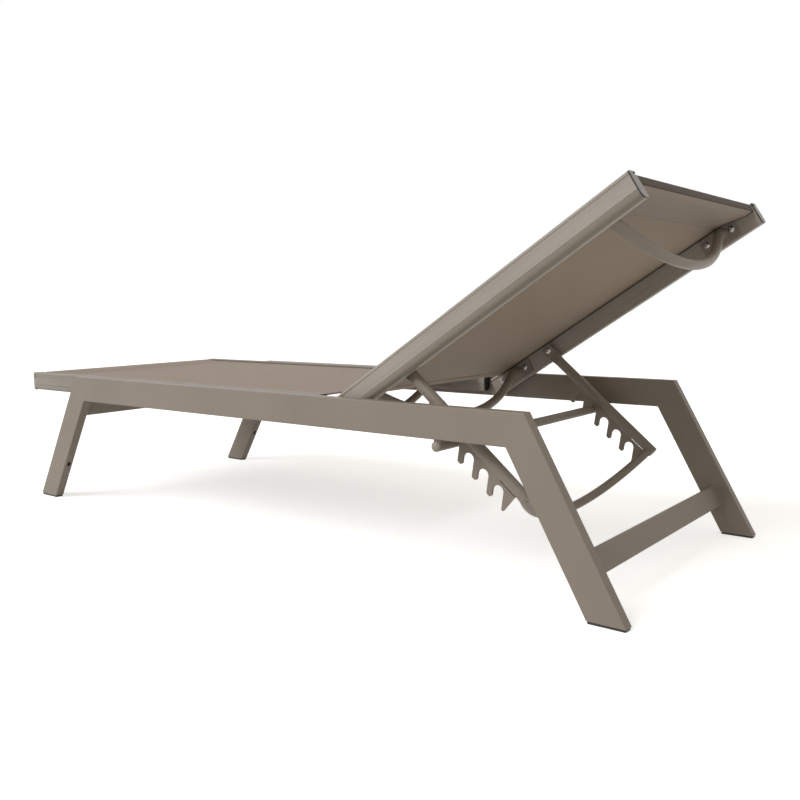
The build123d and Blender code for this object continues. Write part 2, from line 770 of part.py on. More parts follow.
# Screws and bolts: each has a button head with a socket, and its shank goes into the rail
bolt_length = frame_inner_y + insert_reach - sling_inner_y
lug_inner_y = prop_y - lug_thickness / 2 - pivot_play
lug_outer_y = prop_y + lug_thickness / 2 + pivot_play
prop_screw_length = sling_inner_y + 2 * sling_rail_wall - lug_inner_y
seat_screw_xs = [
    bow_x + way * half_spacing for bow_x in (seat_front_bow_x, seat_rear_bow_x) for way in (-1, 1)
]
back_screw_places = (
    lower_screw_place,
    upper_plate_place - half_spacing,
    upper_plate_place + half_spacing,
)
seat_screw_spots = [
    (seat_point(x, screw_drop, hand * plate_face_y), hand)
    for side, hand in hands
    for x in seat_screw_xs
]
back_screw_spots = [
    (back_point(place, screw_drop, hand * plate_face_y), hand)
    for side, hand in hands
    for place in back_screw_places
]
screw_sets = [
    ("seat_bow_screws", seat_screw_spots, screw_reach, head_radius),
    ("back_bow_screws", back_screw_spots, screw_reach, head_radius),
]
for side, hand in hands:
    bolt_spots = [(Vector(x, hand * sling_inner_y, z), hand) for x, z in seat_bolt_places]
    pivot_spot = Vector(pivot.X, hand * (plate_face_y - pivot_play), pivot.Z)
    pivot_bolt_length = bolt_length + plate_thickness + pivot_play
    prop_spot = prop_point(0, 0, hand * lug_inner_y)
    pivot_spots = [(pivot_spot, hand)]
    prop_spots = [(prop_spot, hand)]
    screw_sets.append((f"seat_bolts_{side}", bolt_spots, bolt_length, head_radius))
    screw_sets.append((f"pivot_bolt_{side}", pivot_spots, pivot_bolt_length, head_radius))
    screw_sets.append((f"prop_screw_{side}", prop_spots, prop_screw_length, prop_head_radius))

for name, spots, length, radius in screw_sets:
    with BuildPart() as screws:
        for spot, hand in spots:
            face = inward(spot, hand)
            with BuildSketch(Plane(origin=spot, x_dir=(1, 0, 0), z_dir=(0, 0, -hand))):
                with BuildLine():
                    Polyline(
                        (0, -length),
                        (shank_radius, -length),
                        (shank_radius, 0),
                        (radius, 0),
                        (radius, head_rim),
                        (head_top_radius, head_height),
                        (0, head_height),
                        close=True,
                    )
                make_face()
            revolve(axis=Axis(spot, face.z_dir))
            with BuildSketch(face.offset(head_height)):
                RegularPolygon(socket_radius, 6)
            extrude(amount=-socket_depth, mode=Mode.SUBTRACT)
    save(screws, name)

# Inserts, spacers and bushes: rings round the bolts, each with an outward length
for side, hand in hands:
    seat_bores = [Vector(x, hand * sling_outer_y, z) for x, z in seat_bolt_places]
    insert_bores = [Vector(x, hand * frame_inner_y, z) for x, z in insert_places]
    pivot_inner = Vector(pivot.X, hand * sling_inner_y, pivot.Z)
    pivot_outer = Vector(pivot.X, hand * sling_outer_y, pivot.Z)
    bush_flange = rail_gap - insert_flange - pivot_play
    spacer_start = prop_point(0, 0, hand * lug_outer_y)
    for name, rings in (
        (
            "rail_inserts",
            [(bore, insert_radius, shank_radius, insert_reach) for bore in insert_bores]
            + [(bore, flange_radius, shank_radius, -insert_flange) for bore in insert_bores],
        ),
        (
            "seat_spacers",
            [(bore, flange_radius, screw_hole, rail_gap - insert_flange) for bore in seat_bores],
        ),
        (
            "pivot_bush",
            [
                (pivot_inner, bush_radius, pivot_hole, sling_rail_width),
                (pivot_outer, flange_radius, pivot_hole, bush_flange),
            ],
        ),
        (
            "prop_spacer",
            [(spacer_start, flange_radius, screw_hole, sling_inner_y - lug_outer_y)],
        ),
    ):
        with BuildPart() as bored:
            for start, outer, inner, length in rings:
                with BuildSketch(Plane(origin=start, x_dir=(1, 0, 0), z_dir=(0, hand, 0))):
                    Circle(outer)
                    Circle(inner, mode=Mode.SUBTRACT)
                extrude(amount=length)
        save(bored, f"{name}_{side}")
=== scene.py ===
import json
from math import acos, atan2, cos, pi, radians, sin, sqrt, tau

import bpy
from mathutils import Matrix, Vector, geometry, noise


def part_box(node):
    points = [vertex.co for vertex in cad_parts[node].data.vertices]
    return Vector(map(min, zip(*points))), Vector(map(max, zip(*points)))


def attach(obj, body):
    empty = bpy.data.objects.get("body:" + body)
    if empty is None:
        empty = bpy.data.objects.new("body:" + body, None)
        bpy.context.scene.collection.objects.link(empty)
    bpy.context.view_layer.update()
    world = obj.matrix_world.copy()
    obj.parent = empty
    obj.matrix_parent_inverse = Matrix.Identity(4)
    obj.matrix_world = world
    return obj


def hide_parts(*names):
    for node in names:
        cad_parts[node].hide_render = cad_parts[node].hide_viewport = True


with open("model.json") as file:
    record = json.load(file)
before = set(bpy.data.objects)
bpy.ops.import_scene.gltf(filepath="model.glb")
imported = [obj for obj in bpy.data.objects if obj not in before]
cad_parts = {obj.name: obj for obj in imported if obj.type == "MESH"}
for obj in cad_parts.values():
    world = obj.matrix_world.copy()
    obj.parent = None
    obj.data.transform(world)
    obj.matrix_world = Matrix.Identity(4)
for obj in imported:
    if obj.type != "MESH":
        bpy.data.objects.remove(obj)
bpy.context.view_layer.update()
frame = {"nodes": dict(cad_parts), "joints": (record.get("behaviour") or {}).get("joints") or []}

bl_info = {
    "name": "Sling lounger dresser",
    "version": (1, 0, 0),
    "blender": (4, 5, 0),
    "location": "3D View > Sidebar > Lounger",
    "description": "Gives the packed sun lounger its cloth, stitches, welds, finishes and studio",
    "category": "Object",
}

# Places and angles that part.py sets, in metres and radians
SEAT_HEIGHT = 0.356
RECLINE = radians(32.1)
PIVOT = Vector(frame["joints"][0]["pos_m"])
PIVOT_DROP = 0.021
TRACK_DROP = 0.0055
SLOT_Y = 0.314
SLING_SAG = 0.005
PLATE_FACE_Y = 0.311
BOW_DROP = 0.0225
BOW_RADIUS = 0.0105
UPPER_BOW_PLACE = 0.6705
LOWER_BOW_PLACE = 0.0555
END_BAR_CORNER = 0.003
PROP_PIVOT = Vector(frame["joints"][1]["pos_m"])
PROP_Y = 0.301
PROP_ANGLE = radians(39.8)
PROP_RADIUS = 0.012
PROP_BOW_PLACE = 0.359
PROP_BOW_RADIUS = 0.0097
PROP_BOW_SLOPE = radians(40)
PROP_BOW_LEAN = radians(122.3)
RACK_HALF_THICKNESS = 0.0025
RACK_SEAM_PLACES = (0.097, 0.181, 0.272)
RACK_SEAM_LENGTH = 0.024
CROSS_TUBE_END_Y = 0.341
LIP_DROP = 0.0365
RAIL_MIDDLE_Y = 0.3245

# Sizes of the looks, in metres
LIP_EDGE = 0.0012
CAP_FACE_DEPTH = 0.0011
RIPPLE_PITCH = 0.0015
STITCH_SHARE = 0.8  # of the stitch pitch that a stitch covers
SEAM_SINK = 0.0002
SAME_PLACE = 1e-4

# Studio and camera, as the photograph has them
FLOOR_REACH = 30
FLOOR_DROP = 0.0002
FLOOR_GREY = (0.8, 0.8, 0.8)
FLOOR_GLOW = 0.58
KEY_ANGLE = radians(35)
KEY_PLACE = (-0.45, -1.0, 0.95)
PANEL_SHARE = 6
PANEL_SIZE = (2.0, 1.4)
PANEL_PLACE = (-1.9, -2.3, 1.5)
PANEL_TARGET = (-0.7, 0, 0.3)
ROOM_AT_FOOT_END = (0.97, 0.95, 0.9)
ROOM_AT_HEAD_END = (1.07, 0.97, 0.82)
CAMERA_PLACE = (1.49, -1.6684, 0.5537)
CAMERA_YAW = radians(127.973)
CAMERA_PITCH = radians(-8.145)
CAMERA_ROLL = radians(0.687)
SENSOR_WIDTH = 36  # millimetres, as is the lens
LENS_LENGTH = 38.77
LENS_SHIFT = (-0.0055, 0.0292)
CLIP_START = 0.01

# Colours of the small parts, and tones against a colour of the settings
CAP_BLACK = (0.015, 0.0135, 0.012)
HEAD_CAP_BLACK = (0.02, 0.018, 0.016)
# Painted light on the flat end face of the backrest's head caps
HEAD_CAP_LIT_GREY = (0.235, 0.222, 0.205)
NYLON_BLACK = (0.035, 0.035, 0.035)
CORD_WHITE = (0.55, 0.54, 0.5)
STEEL_GREY = (0.42, 0.405, 0.385)
# Painted shade on the downward-facing lower lip of the back rails' outer faces
LIP_SHADE_TINT = (0.64, 0.62, 0.56)
# Painted light: the slings' underside is a warmer copy of the cloth colour, for the light that
# reaches it
UNDERSIDE_LIGHT_TINT = (1.02, 1.01, 0.93)
# A darker band where each sling wraps its end bar, and painted shade in narrow strips along the
# rails' tracks
BAND_AND_EDGE_SHADE_TINT = (1.13, 1.0, 0.87)
SEAT_BAND_AND_EDGE_SHADE_TONE = 0.6
BACK_BAND_AND_EDGE_SHADE_TONE = 0.22
THREAD_TONE = 0.75
# Painted shade on the downward-facing end face of each free hem
HEM_END_SHADE_TONE = 0.18
STEEL_TONE = 0.99
BACK_RAIL_TONE = 1.2
# Painted shade: the end bars are darker than the coat, for the shadow in the gaps at their ends
END_BAR_SHADE_TONE = 0.4
WELD_TONE = 0.9

ALONG_SEAT = Vector((1, 0, 0))
TO_FOOT_END = Vector((-1, 0, 0))
ACROSS = Vector((0, 1, 0))
ALONG_BACK = Vector((cos(RECLINE), 0, sin(RECLINE)))
ABOVE_BACK = Vector((-sin(RECLINE), 0, cos(RECLINE)))
UP = Vector((0, 0, 1))
SEAT_TOP = Vector((0, 0, SEAT_HEIGHT))
PROP_DOWN = Vector((cos(PROP_ANGLE), 0, -sin(PROP_ANGLE)))
PROP_BELOW = Vector((-sin(PROP_ANGLE), 0, -cos(PROP_ANGLE)))


def settings():
    """The sizes and colours that the panel shows."""
    return bpy.context.scene.lounger


def back_point(place, drop):
    """A point of the backrest: its place up from the pivot, its depth below the rails' tops."""
    return PIVOT + ALONG_BACK * place + ABOVE_BACK * (PIVOT_DROP - drop)


def prop_point(place, depth, y):
    """A point of the prop: its place down from its pivot, its depth below the leg's axis."""
    spot = PROP_PIVOT + PROP_DOWN * place + PROP_BELOW * depth
    return Vector((spot.x, y, spot.z))


def reach(name, origin, direction):
    """How far a CAD node reaches along a direction, as its least and greatest distance."""
    spots = [(vertex.co - origin).dot(direction) for vertex in frame["nodes"][name].data.vertices]
    return min(spots), max(spots)


# ---------------------------------------------------------------- materials


def new_surface(
    name, colour, roughness, bump_height, metallic=0.0, coat=0.0, turn=0.0, specular=0.5
):
    """A Principled material on Object coordinates, turned by an angle about the Y axis."""
    material = bpy.data.materials.new(name)
    material.use_nodes = True
    tree = material.node_tree
    surface = tree.nodes["Principled BSDF"]
    surface.inputs["Base Color"].default_value = (*colour, 1)
    surface.inputs["Roughness"].default_value = roughness
    surface.inputs["Metallic"].default_value = metallic
    surface.inputs["Coat Weight"].default_value = coat
    surface.inputs["Specular IOR Level"].default_value = specular
    surface.inputs["Coat Roughness"].default_value = 0.3
    coordinates = tree.nodes.new("ShaderNodeTexCoord")
    mapping = tree.nodes.new("ShaderNodeMapping")
    mapping.inputs["Rotation"].default_value = (0, turn, 0)
    tree.links.new(coordinates.outputs["Object"], mapping.inputs["Vector"])
    bump = tree.nodes.new("ShaderNodeBump")
    bump.inputs["Distance"].default_value = bump_height
    tree.links.new(bump.outputs["Normal"], surface.inputs["Normal"])
    return material, tree, surface, mapping, bump


def stretched(tree, mapping, scale):
    """Coordinates stretched from a mapping, so that a texture on them runs along one axis."""
    node = tree.nodes.new("ShaderNodeVectorMath")
    node.operation = "MULTIPLY"
    node.inputs[1].default_value = scale
    tree.links.new(mapping.outputs["Vector"], node.inputs[0])
    return node.outputs[0]


def cloud(tree, vector, scale, detail=3.0, roughness=0.5):
    """Soft noise from 0 to 1."""
    node = tree.nodes.new("ShaderNodeTexNoise")
    node.inputs["Scale"].default_value = scale
    node.inputs["Detail"].default_value = detail
    node.inputs["Roughness"].default_value = roughness
    tree.links.new(vector, node.inputs["Vector"])
    return node.outputs["Fac"]


def spread(tree, value, onto, across=(0.0, 1.0)):
    """Maps one range of a value onto another, and holds it there outside that range."""
    node = tree.nodes.new("ShaderNodeMapRange")
    node.inputs["From Min"].default_value, node.inputs["From Max"].default_value = across
    node.inputs["To Min"].default_value, node.inputs["To Max"].default_value = onto
    tree.links.new(value, node.inputs["Value"])
    return node.outputs["Result"]


def reckon(tree, operation, first, second=None):
    """One sum on plain numbers or other nodes' outputs."""
    node = tree.nodes.new("ShaderNodeMath")
    node.operation = operation
    for socket, value in zip(node.inputs, (first, second)):
        if isinstance(value, (int, float)):
            socket.default_value = value
        elif value is not None:
            tree.links.new(value, socket)
    return node.outputs[0]


def blend_colours(tree, factor, first, second):
    """Mixes two colours, each a plain colour or another node's output."""
    node = tree.nodes.new("ShaderNodeMix")
    node.data_type = "RGBA"
    for socket, value in ((node.inputs["A"], first), (node.inputs["B"], second)):
        if isinstance(value, tuple):
            socket.default_value = (*value, 1)
        else:
            tree.links.new(value, socket)
    tree.links.new(factor, node.inputs["Factor"])
    return node.outputs["Result"]


def shade(colour, share):
    """A colour made lighter or darker."""
    return tuple(part * share for part in colour)


def tinted(colour, tint):
    """A colour with a share of its own for red, green and blue."""
    return tuple(part * share for part, share in zip(colour, tint))


def powder_coat(
    name, colour, roughness=0.42, turn=0.0, draw_lines=0.0, specular=0.16, lip_shade_below=None
):
    """Satin powder coat: faint orange peel, slow drifts of tone, fine dust, optional die lines.

    Below that height of the turned coordinates, the outer side is darker: painted shade where the
    rail's lower face turns down.
    """
    material, tree, surface, mapping, bump = new_surface(
        name, colour, roughness, bump_height=0.00012, coat=0.04, turn=turn, specular=specular
    )
    place = mapping.outputs["Vector"]
    drift = spread(tree, cloud(tree, place, scale=5.0), onto=(0, 1), across=(0.3, 0.7))
    tone = blend_colours(tree, drift, shade(colour, 0.95), shade(colour, 1.05))
    dust = cloud(tree, place, scale=70.0, detail=8.0, roughness=0.65)
    dusty = tuple(0.9 * part + 0.1 * max(colour) * 1.15 for part in colour)
    tone = blend_colours(
        tree, spread(tree, dust, onto=(0, 0.55), across=(0.52, 0.78)), tone, dusty
    )
    height = cloud(tree, place, scale=850.0, detail=2.0)
    if draw_lines:
        along = stretched(tree, mapping, (1.5, 420, 420))
        lines = cloud(tree, along, scale=1.0, detail=4.0, roughness=0.7)
        height = reckon(tree, "ADD", height, reckon(tree, "MULTIPLY", lines, draw_lines))
        along = stretched(tree, mapping, (1.1, 190, 190))
        streaks = cloud(tree, along, scale=1.0, detail=5.0, roughness=0.75)
        streaks = spread(tree, streaks, onto=(0, 0.8), across=(0.5, 0.68))
        tone = blend_colours(tree, streaks, tone, shade(colour, 0.8))
    if lip_shade_below is not None:
        # Painted shade: the outer face is darkened below the lip's height, where it faces down
        split = tree.nodes.new("ShaderNodeSeparateXYZ")
        tree.links.new(place, split.inputs[0])
        edge = (lip_shade_below - LIP_EDGE, lip_shade_below)
        lip_shade = spread(tree, split.outputs["Z"], onto=(1, 0), across=edge)
        outside = reckon(
            tree, "GREATER_THAN", reckon(tree, "ABSOLUTE", split.outputs["Y"]), RAIL_MIDDLE_Y
        )
        lip_shade = reckon(tree, "MULTIPLY", lip_shade, outside)
        tone = blend_colours(tree, lip_shade, tone, tinted(colour, LIP_SHADE_TINT))
    tree.links.new(tone, surface.inputs["Base Color"])
    tree.links.new(height, bump.inputs["Height"])
    bump.inputs["Strength"].default_value = 0.35
    rough = cloud(tree, place, scale=38.0, detail=5.0)
    rough = spread(tree, rough, onto=(roughness - 0.06, roughness + 0.08))
    tree.links.new(rough, surface.inputs["Roughness"])
    return material


def moulded_plastic(name, colour, roughness, turn=0.0):
    """Moulded plastic with a fine spark texture and scuffed high spots."""
    material, tree, surface, mapping, bump = new_surface(
        name, colour, roughness, bump_height=0.0001, turn=turn
    )
    place = mapping.outputs["Vector"]
    drift = cloud(tree, place, scale=60.0, detail=6.0, roughness=0.6)
    scuffed = tuple(part * 1.5 + 0.012 for part in colour)
    scuffs = spread(tree, drift, onto=(0, 0.8), across=(0.5, 0.8))
    tree.links.new(blend_colours(tree, scuffs, colour, scuffed), surface.inputs["Base Color"])
    tree.links.new(cloud(tree, place, scale=1600.0, detail=2.0), bump.inputs["Height"])
    bump.inputs["Strength"].default_value = 0.5
    rough = spread(tree, drift, onto=(roughness - 0.08, roughness + 0.1))
    tree.links.new(rough, surface.inputs["Roughness"])
    return material


def stainless(name, colour):
    """Turned stainless steel: fine tool marks, dulled in places by handling."""
    material, tree, surface, mapping, bump = new_surface(
        name, colour, roughness=0.36, bump_height=0.00004, metallic=1.0
    )
    place = mapping.outputs["Vector"]
    stain = cloud(tree, place, scale=240.0, detail=5.0)
    stained = spread(tree, stain, onto=(0, 1), across=(0.35, 0.75))
    tone = blend_colours(tree, stained, colour, shade(colour, 0.72))
    tree.links.new(tone, surface.inputs["Base Color"])
    marks = cloud(tree, place, scale=2600.0, detail=3.0, roughness=0.7)
    tree.links.new(marks, bump.inputs["Height"])
    tree.links.new(spread(tree, stain, onto=(0.28, 0.46)), surface.inputs["Roughness"])
    return material


def woven_cloth(name, colour, pitch, turn, sheen=0.06):
    """Coated mesh cloth: flat yarns that cross over and under, with painted shade in the small
    gaps between.
    """
    material, tree, surface, mapping, bump = new_surface(
        name, colour, roughness=0.62, bump_height=0.0003, turn=turn, specular=0.2
    )
    surface.inputs["Sheen Weight"].default_value = sheen
    surface.inputs["Sheen Roughness"].default_value = 0.5
    split = tree.nodes.new("ShaderNodeSeparateXYZ")
    tree.links.new(mapping.outputs["Vector"], split.inputs[0])
    yarns, cells = [], []
    for axis in ("X", "Y"):
        turns = reckon(tree, "MULTIPLY", split.outputs[axis], pi / pitch)
        yarns.append(reckon(tree, "ABSOLUTE", reckon(tree, "SINE", turns)))
        yarn_number = reckon(tree, "FLOOR", reckon(tree, "DIVIDE", turns, pi))
        cells.append(reckon(tree, "MODULO", yarn_number, 2))
    parity = reckon(tree, "ABSOLUTE", reckon(tree, "ADD", cells[0], cells[1]))
    over = reckon(tree, "PINGPONG", parity, 1)
    first = reckon(tree, "MULTIPLY", yarns[0], over)
    second = reckon(tree, "MULTIPLY", yarns[1], reckon(tree, "SUBTRACT", 1, over))
    height = reckon(tree, "ADD", first, second)
    # Painted shade: darker where the weave is low, between the yarns
    gap_shade = spread(tree, height, onto=(1, 0), across=(0.02, 0.42))
    tone = cloud(tree, stretched(tree, mapping, (1.2, 160, 1)), scale=1.0, roughness=0.6)
    toned = spread(tree, tone, onto=(0, 1), across=(0.3, 0.7))
    yarn = blend_colours(tree, toned, shade(colour, 0.93), shade(colour, 1.07))
    drift = cloud(tree, mapping.outputs["Vector"], scale=3.5, detail=4.0)
    drift = spread(tree, drift, onto=(0, 0.5), across=(0.4, 0.8))
    yarn = blend_colours(tree, drift, yarn, shade(colour, 1.08))
    tree.links.new(
        blend_colours(tree, gap_shade, yarn, shade(colour, 0.62)), surface.inputs["Base Color"]
    )
    tree.links.new(height, bump.inputs["Height"])
    bump.inputs["Strength"].default_value = 0.6
    tree.links.new(spread(tree, tone, onto=(0.54, 0.7)), surface.inputs["Roughness"])
    return material


def sewing_thread(name, colour):
    """Twisted thread, with a painted highlight on the turns that stand proud."""
    material, tree, surface, mapping, bump = new_surface(
        name, colour, roughness=0.55, bump_height=0.0001
    )
    surface.inputs["Sheen Weight"].default_value = 0.2
    twist = cloud(tree, stretched(tree, mapping, (900, 2600, 900)), scale=1.0, detail=2.0)
    # Painted highlight: lighter where the twist stands proud, darker between the turns
    tree.links.new(
        blend_colours(tree, twist, shade(colour, 0.8), shade(colour, 1.15)),
        surface.inputs["Base Color"],
    )
    tree.links.new(twist, bump.inputs["Height"])
    return material


def weld_metal(name, colour):
    """Powder coat over a weld bead, glossier than on the tubes, with painted shade in the hollows
    between its ripples and a painted highlight on their crests.
    """
    material, tree, surface, mapping, bump = new_surface(
        name, colour, roughness=0.4, bump_height=0.0003, coat=0.15
    )
    ripple = cloud(tree, mapping.outputs["Vector"], scale=420.0, roughness=0.6)
    # Painted shade and highlight: the colour follows the ripples' height
    tree.links.new(
        blend_colours(tree, ripple, shade(colour, 0.88), shade(colour, 1.04)),
        surface.inputs["Base Color"],
    )
    tree.links.new(ripple, bump.inputs["Height"])
    return material


# ---------------------------------------------------------------- mesh helpers


def mesh_piece(name, points, faces, materials, face_slots=None):
    """A smooth shaded piece from its points and faces."""
    mesh = bpy.data.meshes.new(name)
    mesh.from_pydata([tuple(point) for point in points], [], faces)
    for material in materials:
        mesh.materials.append(material)
    mesh.polygons.foreach_set("use_smooth", [True] * len(faces))
    if face_slots:
        mesh.polygons.foreach_set("material_index", face_slots)
    mesh.update()
    piece = bpy.data.objects.new(name, mesh)
    bpy.context.scene.collection.objects.link(piece)
    return piece


def baked(piece):
    """Swaps a piece's mesh for the result of its modifiers and takes them off."""
    bpy.context.view_layer.update()
    graph = bpy.context.evaluated_depsgraph_get()
    mesh = bpy.data.meshes.new_from_object(piece.evaluated_get(graph), depsgraph=graph)
    if not mesh.polygons:
        raise RuntimeError(f"{piece.name} has no faces")
    piece.modifiers.clear()
    old, piece.data = piece.data, mesh
    bpy.data.meshes.remove(old)
    return piece


# ---------------------------------------------------------------- slings


class Cloth:
    """One sling: where it lies from its free hem, over its end bar and back to its pocket seam.

    A place is a distance along the bed from its origin, a height one above the rails' tops.
    """

    # Widths and the way round the end bar, in metres
    half_width = SLOT_Y + 0.0036
    wrapped_half_width = SLOT_Y - 0.0075
    bar_gap = 0.00015
    lap_start = 0.052
    lap_end = 0.064
    lap_gap = 0.0002
    cut_before_bar = 0.011
    after_cut = 0.0003

    # How the free hem is drawn in, and how far from it the cloth still lies flat
    hem_hollow = 0.002
    hem_stiffness = 0.15
    hem_depth = 1.9  # of the doubled hem's lower face, in thicknesses below the middle

    # Waves of the slack cloth, and the run of its rise to the end bar
    wave_height = 0.0004
    small_wave_height = 0.00025
    waves_along, waves_across, wave_phase = 9, 7, 0.4
    small_wave_share = 3.1
    rise_at_rail = 0.010
    rise_between = 0.11

    # Stations along and across
    step = 0.012
    least_steps = 30
    close_run = 0.045
    close_steps = 10
    fold_edge = 0.0006
    rise_steps = 7
    arc_steps = 6
    under_arc_steps = 5
    slope_steps = 7
    lap_steps = 4
    # Where the strips of painted shade along the rails begin, underneath and on top
    shade_edge_shares = (0.935, 0.974)
    band_start = 13  # first row of the wrap on the end bar's outer face
    band_rows = 8

    # Stitching
    hem_seam_inset = 0.004
    rail_seam_inset = 0.013
    seam_end_inset = 0.005
    seam_stop = 0.012  # of the rail seams, before the cut
    pocket_seam_shares = (0.15, 0.85)
    across_points = 41
    along_points = 61

    def __init__(self, part, bar, origin, along, above):
        self.part, self.origin, self.along, self.above = part, origin, along, above
        self.thickness = settings().cloth_thickness
        self.hem = reach(f"{part}_sling", origin, along)[0]
        self.bar_in, self.bar_out = reach(bar, origin, along)
        self.bar_low, self.bar_top = reach(bar, origin, above)
        self.cut = self.bar_in - self.cut_before_bar

    def slack(self, y):
        """How far the cloth can give: 0 at the rails' tracks, 1 in the middle."""
        return max(0.0, 1 - (y / self.half_width) ** 2)

    def near_hem(self, place):
        """1 at the free hem, falling to 0 where the hem has no more hold on the cloth."""
        return max(0.0, 1 - (place - self.hem) / self.hem_stiffness) ** 2

    def spot(self, place, height, y):
        """The point of the cloth at a place along it, drawn in a little near its free hem."""
        place += self.hem_hollow * self.slack(y) * self.near_hem(place)
        point = self.origin + self.along * place + self.above * height
        return Vector((point.x, y, point.z))

    def height(self, place, y):
        """The height of the cloth's middle between its hem and the top of its end bar."""
        slack = self.slack(y)
        wave = Vector((place * self.waves_along, y * self.waves_across, self.wave_phase))
        waves = self.wave_height * noise.noise(wave)
        waves += self.small_wave_height * noise.noise(wave * self.small_wave_share)
        free = -TRACK_DROP - SLING_SAG * slack * (1 - self.near_hem(place)) + waves * slack
        run = self.rise_at_rail + self.rise_between * slack
        share = min(1.0, max(0.0, (place - self.bar_in + run) / run))
        share *= share * (3 - 2 * share)
        return free + (self.bar_top + self.bar_gap + self.thickness / 2 - free) * share

    def main_places(self):
        """Stations of the main run, closer together at the hem and near the end bar."""
        fold = self.hem + settings().hem_width
        close = self.cut - self.close_run
        steps = max(self.least_steps, int((self.cut - self.hem) / self.step))
        places = [self.hem + (close - self.hem) * n / steps for n in range(steps + 1)]
        places += [fold - self.fold_edge, fold + self.fold_edge]
        close_step = self.close_run / self.close_steps
        places += [close + close_step * n for n in range(1, self.close_steps + 1)]
        return sorted(places)

    def wrap(self, y):
        """The way round the end bar from the cut to the lap, as places and heights."""
        offset = self.thickness / 2 + self.bar_gap
        radius = END_BAR_CORNER + offset
        near, far = self.bar_in + END_BAR_CORNER, self.bar_out - END_BAR_CORNER
        upper, lower = self.bar_top - END_BAR_CORNER, self.bar_low + END_BAR_CORNER
        middle = (near + far) / 2

        def corner(place, height, start, sweep, steps):
            """Round one corner of the bar, from an angle counted from straight up."""
            turns = [start + sweep * n / steps for n in range(steps + 1)]
            return [(place + radius * sin(turn), height + radius * cos(turn)) for turn in turns]

        start = self.cut + self.after_cut
        path = []
        for n in range(self.rise_steps + 1):
            place = start + (near - start) * n / self.rise_steps
            path.append((place, self.height(place, y)))
        path.append((middle, self.bar_top + offset))
        path += corner(far, upper, 0, pi / 2, self.arc_steps)
        path.append((self.bar_out + offset, (upper + lower) / 2))
        path += corner(far, lower, pi / 2, pi / 2, self.arc_steps)
        path.append((middle, self.bar_low - offset))
        lap = self.lap(0, y)
        run, rise = lap[0] - near, lap[1] - lower
        sweep = acos(-radius / sqrt(run * run + rise * rise)) - atan2(-run, rise)
        path += corner(near, lower, pi, sweep, self.under_arc_steps)
        last = path[-1]
        for n in range(1, self.slope_steps):
            path.append(tuple(a + (b - a) * n / self.slope_steps for a, b in zip(last, lap)))
        return path + [self.lap(n / self.lap_steps, y) for n in range(self.lap_steps + 1)]

    def lap(self, share, y):
        """The strip that is sewn flat under the main run, from its near to its far edge."""
        place = self.bar_in - self.lap_start - (self.lap_end - self.lap_start) * share
        return place, self.height(place, y) - self.thickness - self.lap_gap

    def column(self, share):
        """The whole way of the cloth at a share of its width, as places, heights and y."""
        y = self.half_width * share
        narrow = self.wrapped_half_width * share
        main = [(place, self.height(place, y), y) for place in self.main_places()]
        return main + [(place, height, narrow) for place, height in self.wrap(narrow)]

    def flat_length(self):
        """The cloth's own length along its middle line."""
        column = self.column(0)
        return sum(
            sqrt((b[0] - a[0]) ** 2 + (b[1] - a[1]) ** 2) for a, b in zip(column, column[1:])
        )

    def sides(self, shares):
        """The points of the upper and the lower side, and how many rows a column has."""
        fold = self.hem + settings().hem_width
        upper, lower = [], []
        for share in shares:
            column = self.column(share)
            rows = len(column)
            for row, (place, height, y) in enumerate(column):
                before, after = column[max(0, row - 1)], column[min(rows - 1, row + 1)]
                run, rise = after[0] - before[0], after[1] - before[1]
                size = sqrt(run * run + rise * rise)
                folded = row * 2 < rows and place < fold
                below = self.thickness * (self.hem_depth if folded else 0.5)
                for side, out in ((upper, self.thickness / 2), (lower, -below)):
                    side.append(
                        self.spot(place - rise / size * out, height + run / size * out, y)
                    )
        return upper, lower, rows

    def piece(self, top, under, hem_end_shade, band_and_edge_shade, across=64):
        """The cloth as one closed shell, darker in a band over the end bar, with painted shade in
        strips along its edges at the rails' tracks.
        """
        under_shade_edge, top_shade_edge = self.shade_edge_shares
        inner = [under_shade_edge * (2 * n / (across - 4) - 1) for n in range(across - 3)]
        upper, lower, rows = self.sides((-1, -top_shade_edge, *inner, top_shade_edge, 1))
        count = len(upper)
        first_band = len(self.main_places()) + self.band_start
        band = range(first_band, first_band + self.band_rows)
        surfaces = [top, under, hem_end_shade, band_and_edge_shade]
        top_slot, under_slot, hem_shade_slot, band_and_edge_shade_slot = range(len(surfaces))
        faces, slots = [], []
        for n in range(across):
            for row in range(rows - 1):
                a = n * rows + row
                b, c, d = a + 1, a + rows + 1, a + rows
                faces += [(a, b, c, d), (count + a, count + d, count + c, count + b)]
                # Painted shade in the outer strips of both sides along the rails; the rows over
                # the end bar take the same darker finish
                slots += [
                    band_and_edge_shade_slot if row in band or n in (0, across - 1) else top_slot,
                    band_and_edge_shade_slot if n in (0, 1, across - 2, across - 1) else under_slot,
                ]
            first, last = n * rows, (n + 1) * rows - 1
            faces.append((first, first + rows, count + first + rows, count + first))
            faces.append((last + rows, last, count + last, count + last + rows))
            # The hem's end face takes painted shade; the lap's end takes the underside finish
            slots += [hem_shade_slot, under_slot]
        for row in range(rows - 1):
            far = across * rows + row
            faces.append((row + 1, row, count + row, count + row + 1))
            faces.append((far, far + 1, count + far + 1, count + far))
            slots += [under_slot, under_slot]
        if self.along.cross(ACROSS).dot(self.above) < 0:
            faces = [tuple(reversed(face)) for face in faces]
        return mesh_piece(f"{self.part}_cloth", upper + lower, faces, surfaces, slots)

